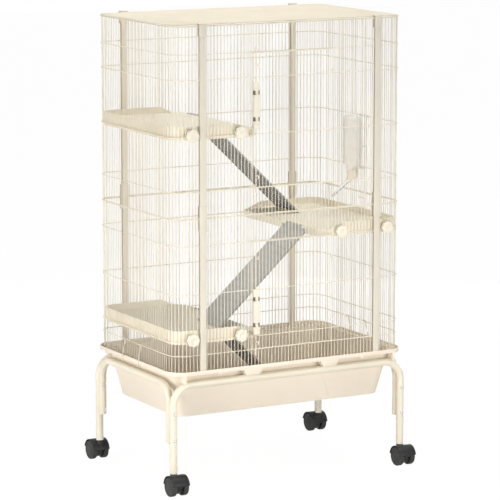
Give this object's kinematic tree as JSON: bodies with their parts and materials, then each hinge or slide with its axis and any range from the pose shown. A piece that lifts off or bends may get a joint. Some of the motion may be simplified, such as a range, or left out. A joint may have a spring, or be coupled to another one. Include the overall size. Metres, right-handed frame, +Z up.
{
  "type": "small animal cage",
  "caption": "Wire cage on a rolling tube stand, with a deep base tray, shelves, ribbed ramps, latched front doors and a water bottle.",
  "frame": {"origin": "on the floor, midway between the four casters", "axes": "+X to the right seen from the front, +Y to the back, +Z up; the doors are at -Y"},
  "size_m": [0.821, 0.5774, 1.3346],
  "materials": {
    "cream_metal": "smooth cream powder coat",
    "cream_plastic": "satin cream moulding",
    "grey_plastic": "matt grey moulding",
    "black_plastic": "satin black moulding",
    "bolt_steel": "zinc plated",
    "spout_steel": "polished stainless",
    "clear_plastic": "clear blown plastic"
  },
  "bodies": {
    "cage": {"base_tray": "cream_plastic", "bottle_holder": "cream_metal", "frame_bolts": "bolt_steel", "front_leg_frame": "cream_metal", "high_platform": "cream_plastic", "left_side_tube": "cream_metal", "leg_plugs": "cream_plastic", "low_platform": "cream_plastic", "lower_front_panel": "cream_metal", "lower_left_panel": "cream_metal", "lower_posts": "cream_plastic", "lower_rear_panel": "cream_metal", "lower_right_panel": "cream_metal", "middle_platform": "cream_plastic", "post_caps": "cream_plastic", "post_sleeves": "cream_plastic", "rear_leg_frame": "cream_metal", "right_side_tube": "cream_metal", "top_panel": "cream_metal", "upper_front_panel": "cream_metal", "upper_left_panel": "cream_metal", "upper_posts": "cream_plastic", "upper_rear_panel": "cream_metal", "upper_right_panel": "cream_metal"},
    "front_left_caster": {"front_left_caster_hood": "black_plastic"},
    "front_left_wheel_pair": {"front_left_caster_wheels": "black_plastic"},
    "front_right_caster": {"front_right_caster_hood": "black_plastic"},
    "front_right_wheel_pair": {"front_right_caster_wheels": "black_plastic"},
    "rear_left_caster": {"rear_left_caster_hood": "black_plastic"},
    "rear_left_wheel_pair": {"rear_left_caster_wheels": "black_plastic"},
    "rear_right_caster": {"rear_right_caster_hood": "black_plastic"},
    "rear_right_wheel_pair": {"rear_right_caster_wheels": "black_plastic"},
    "upper_door_leaf": {"upper_door": "cream_metal", "upper_latch_housing": "cream_plastic"},
    "upper_top_bolt": {"upper_latch_top_bolt": "cream_metal"},
    "upper_bottom_bolt": {"upper_latch_bottom_bolt": "cream_metal"},
    "lower_door_leaf": {"lower_door": "cream_metal", "lower_latch_housing": "cream_plastic"},
    "lower_top_bolt": {"lower_latch_top_bolt": "cream_metal"},
    "lower_bottom_bolt": {"lower_latch_bottom_bolt": "cream_metal"},
    "high_left_knob": {"high_platform_left_knob": "cream_plastic"},
    "high_right_knob": {"high_platform_right_knob": "cream_plastic"},
    "middle_left_knob": {"middle_platform_left_knob": "cream_plastic"},
    "middle_right_knob": {"middle_platform_right_knob": "cream_plastic"},
    "low_left_knob": {"low_platform_left_knob": "cream_plastic"},
    "low_right_knob": {"low_platform_right_knob": "cream_plastic"},
    "high_ramp_board": {"high_ramp": "grey_plastic"},
    "middle_ramp_board": {"middle_ramp": "grey_plastic"},
    "low_ramp_board": {"low_ramp": "grey_plastic"},
    "left_front_clip": {"left_front_tray_clip": "cream_metal"},
    "left_rear_clip": {"left_rear_tray_clip": "cream_metal"},
    "right_front_clip": {"right_front_tray_clip": "cream_metal"},
    "right_rear_clip": {"right_rear_tray_clip": "cream_metal"},
    "bottle": {"water_bottle": "clear_plastic", "bottle_cap": "cream_plastic", "bottle_spout": "spout_steel"}
  },
  "joints": [
    {"name": "front_left_caster_swivel", "type": "hinge", "parent": "cage", "child": "front_left_caster", "pos_m": [-0.3775, -0.238, 0.06], "axis": [0, 0, 1], "continuous": true},
    {"name": "front_left_wheel_spin", "type": "hinge", "parent": "front_left_caster", "child": "front_left_wheel_pair", "pos_m": [-0.3775, -0.257, 0.028], "axis": [1, 0, 0], "continuous": true},
    {"name": "front_right_caster_swivel", "type": "hinge", "parent": "cage", "child": "front_right_caster", "pos_m": [0.3775, -0.238, 0.06], "axis": [0, 0, 1], "continuous": true},
    {"name": "front_right_wheel_spin", "type": "hinge", "parent": "front_right_caster", "child": "front_right_wheel_pair", "pos_m": [0.3775, -0.257, 0.028], "axis": [1, 0, 0], "continuous": true},
    {"name": "rear_left_caster_swivel", "type": "hinge", "parent": "cage", "child": "rear_left_caster", "pos_m": [-0.3775, 0.238, 0.06], "axis": [0, 0, 1], "continuous": true},
    {"name": "rear_left_wheel_spin", "type": "hinge", "parent": "rear_left_caster", "child": "rear_left_wheel_pair", "pos_m": [-0.3775, 0.257, 0.028], "axis": [1, 0, 0], "continuous": true},
    {"name": "rear_right_caster_swivel", "type": "hinge", "parent": "cage", "child": "rear_right_caster", "pos_m": [0.3775, 0.238, 0.06], "axis": [0, 0, 1], "continuous": true},
    {"name": "rear_right_wheel_spin", "type": "hinge", "parent": "rear_right_caster", "child": "rear_right_wheel_pair", "pos_m": [0.3775, 0.257, 0.028], "axis": [1, 0, 0], "continuous": true},
    {"name": "upper_door_hinge", "type": "hinge", "parent": "cage", "child": "upper_door_leaf", "pos_m": [0.1325, -0.25, 1.055], "axis": [0, 0, 1], "range_deg": [0, 150]},
    {"name": "upper_top_bolt_slide", "type": "slide", "parent": "upper_door_leaf", "child": "upper_top_bolt", "axis": [0, 0, -1], "range_m": [0, 0.018]},
    {"name": "upper_bottom_bolt_slide", "type": "slide", "parent": "upper_door_leaf", "child": "upper_bottom_bolt", "axis": [0, 0, 1], "range_m": [0, 0.018]},
    {"name": "lower_door_hinge", "type": "hinge", "parent": "cage", "child": "lower_door_leaf", "pos_m": [0.1325, -0.25, 0.55275], "axis": [0, 0, 1], "range_deg": [0, 120]},
    {"name": "lower_top_bolt_slide", "type": "slide", "parent": "lower_door_leaf", "child": "lower_top_bolt", "axis": [0, 0, -1], "range_m": [0, 0.018]},
    {"name": "lower_bottom_bolt_slide", "type": "slide", "parent": "lower_door_leaf", "child": "lower_bottom_bolt", "axis": [0, 0, 1], "range_m": [0, 0.018]},
    {"name": "high_left_knob_turn", "type": "hinge", "parent": "cage", "child": "high_left_knob", "pos_m": [-0.31972, -0.2463, 1.02154], "axis": [0, -1, 0], "range_deg": [0, 360]},
    {"name": "high_right_knob_turn", "type": "hinge", "parent": "cage", "child": "high_right_knob", "pos_m": [-0.16541, -0.2463, 1.02154], "axis": [0, -1, 0], "range_deg": [0, 360]},
    {"name": "middle_left_knob_turn", "type": "hinge", "parent": "cage", "child": "middle_left_knob", "pos_m": [0.16541, -0.2463, 0.715], "axis": [0, -1, 0], "range_deg": [0, 360]},
    {"name": "middle_right_knob_turn", "type": "hinge", "parent": "cage", "child": "middle_right_knob", "pos_m": [0.31972, -0.2463, 0.715], "axis": [0, -1, 0], "range_deg": [0, 360]},
    {"name": "low_left_knob_turn", "type": "hinge", "parent": "cage", "child": "low_left_knob", "pos_m": [-0.31972, -0.2463, 0.44152], "axis": [0, -1, 0], "range_deg": [0, 360]},
    {"name": "low_right_knob_turn", "type": "hinge", "parent": "cage", "child": "low_right_knob", "pos_m": [-0.16541, -0.2463, 0.44152], "axis": [0, -1, 0], "range_deg": [0, 360]},
    {"name": "high_ramp_lift", "type": "hinge", "parent": "cage", "child": "high_ramp_board", "pos_m": [-0.103, 0.14494, 1.02834], "axis": [0, -1, 0], "range_deg": [0, 20]},
    {"name": "middle_ramp_lift", "type": "hinge", "parent": "cage", "child": "middle_ramp_board", "pos_m": [0.103, -0.091, 0.7218], "axis": [0, 1, 0], "range_deg": [0, 20]},
    {"name": "low_ramp_lift", "type": "hinge", "parent": "cage", "child": "low_ramp_board", "pos_m": [-0.103, 0.11191, 0.44832], "axis": [0, -1, 0], "range_deg": [0, 20]},
    {"name": "left_front_clip_swing", "type": "hinge", "parent": "cage", "child": "left_front_clip", "pos_m": [-0.3757, -0.03889, 0.39601], "axis": [0, 1, 0], "range_deg": [0, 120]},
    {"name": "left_rear_clip_swing", "type": "hinge", "parent": "cage", "child": "left_rear_clip", "pos_m": [-0.3757, 0.06111, 0.39601], "axis": [0, 1, 0], "range_deg": [0, 120]},
    {"name": "right_front_clip_swing", "type": "hinge", "parent": "cage", "child": "right_front_clip", "pos_m": [0.3757, -0.03889, 0.39601], "axis": [0, -1, 0], "range_deg": [0, 120]},
    {"name": "right_rear_clip_swing", "type": "hinge", "parent": "cage", "child": "right_rear_clip", "pos_m": [0.3757, 0.06111, 0.39601], "axis": [0, -1, 0], "range_deg": [0, 120]},
    {"name": "bottle_lift", "type": "slide", "parent": "cage", "child": "bottle", "axis": [0, 0, 1], "range_m": [0, 0.06]}
  ]
}
